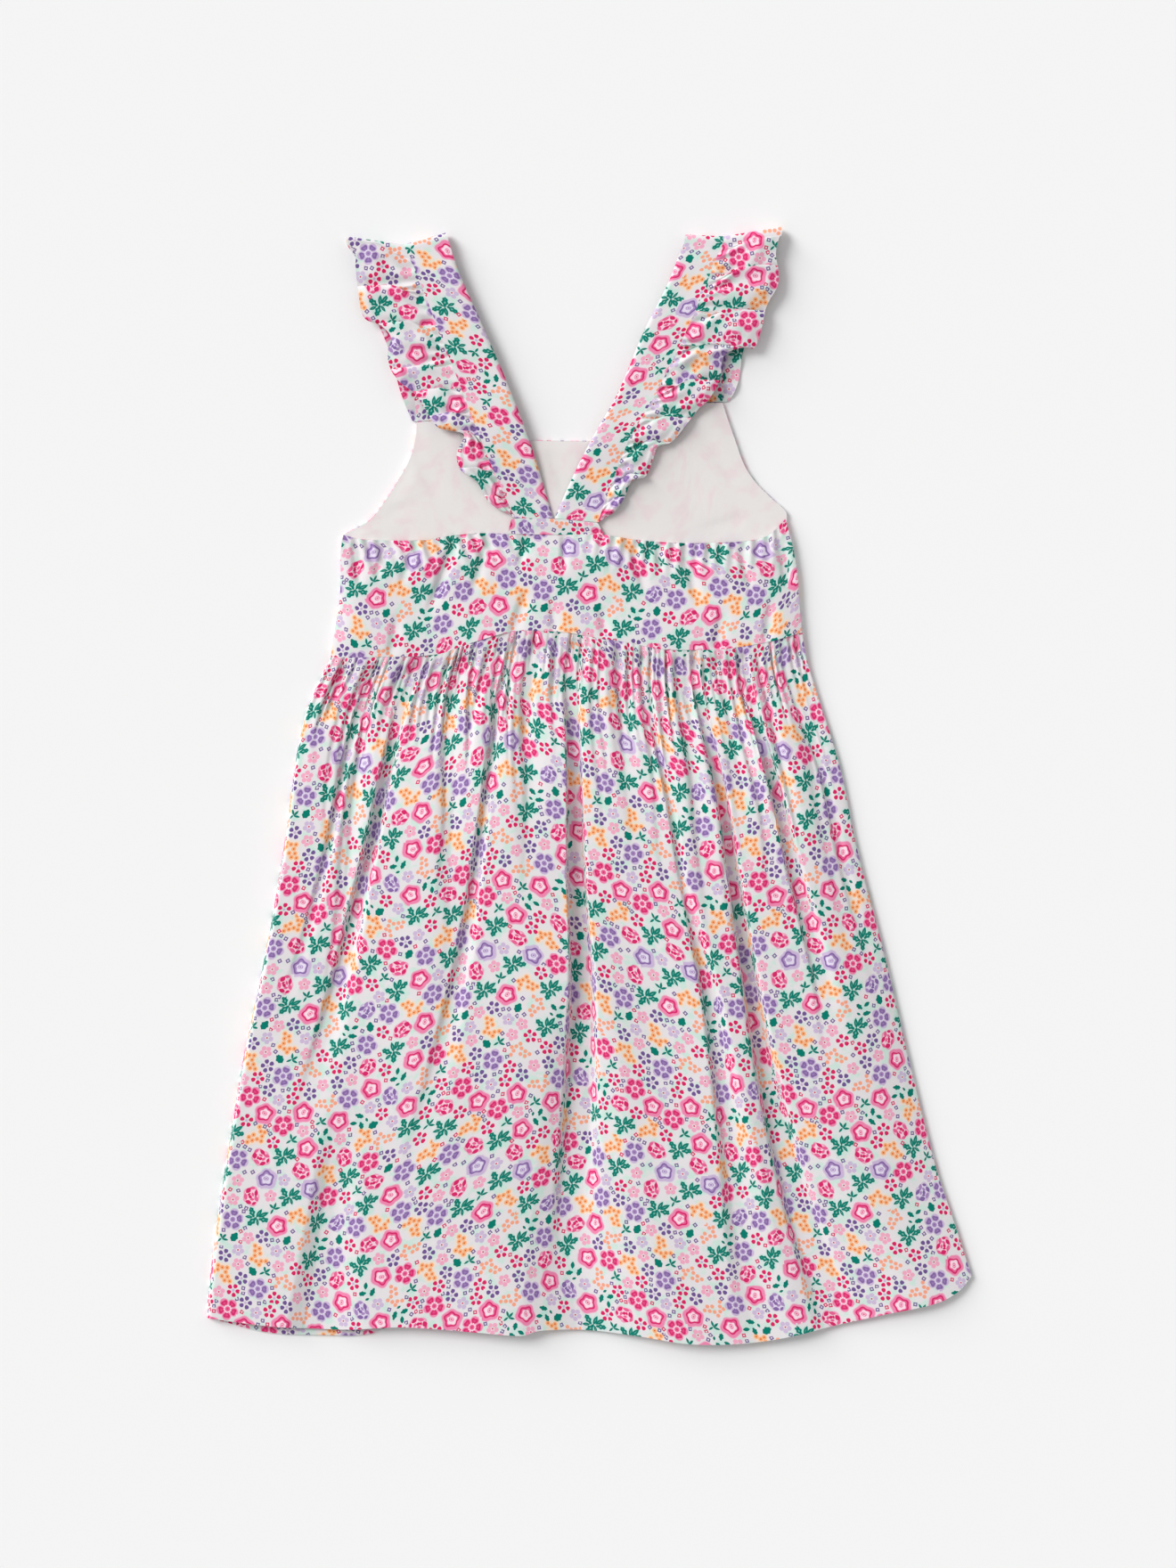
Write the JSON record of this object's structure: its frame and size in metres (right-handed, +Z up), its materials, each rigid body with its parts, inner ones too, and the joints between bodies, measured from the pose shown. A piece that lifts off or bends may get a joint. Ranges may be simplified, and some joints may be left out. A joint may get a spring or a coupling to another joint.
{
  "type": "toddler sundress",
  "caption": "Toddler sundress in small floral cotton, laid flat with its back up: ruffled shoulder straps, elasticated back bodice, pale front lining and a gathered skirt.",
  "frame": {"origin": "middle of the bounding box's base, on the surface that the dress lies on", "axes": "+X to the right as seen from above with the shoulders at the top, +Y from the hem to the shoulders, +Z up from the surface"},
  "size_m": [0.429, 0.6262, 0.0076],
  "materials": {
    "print_cotton": "matte plain-weave cotton, printed with small flowers and leaves on white",
    "lining_cotton": "matte off-white cotton voile"
  },
  "bodies": {
    "root": {"back_skirt": "print_cotton", "front_skirt": "print_cotton", "back_bodice": "print_cotton", "strap_band": "print_cotton", "front_bodice": "print_cotton", "front_lining": "lining_cotton", "strap_left": "print_cotton", "strap_right": "print_cotton", "ruffle_left": "print_cotton", "ruffle_right": "print_cotton"}
  },
  "joints": []
}
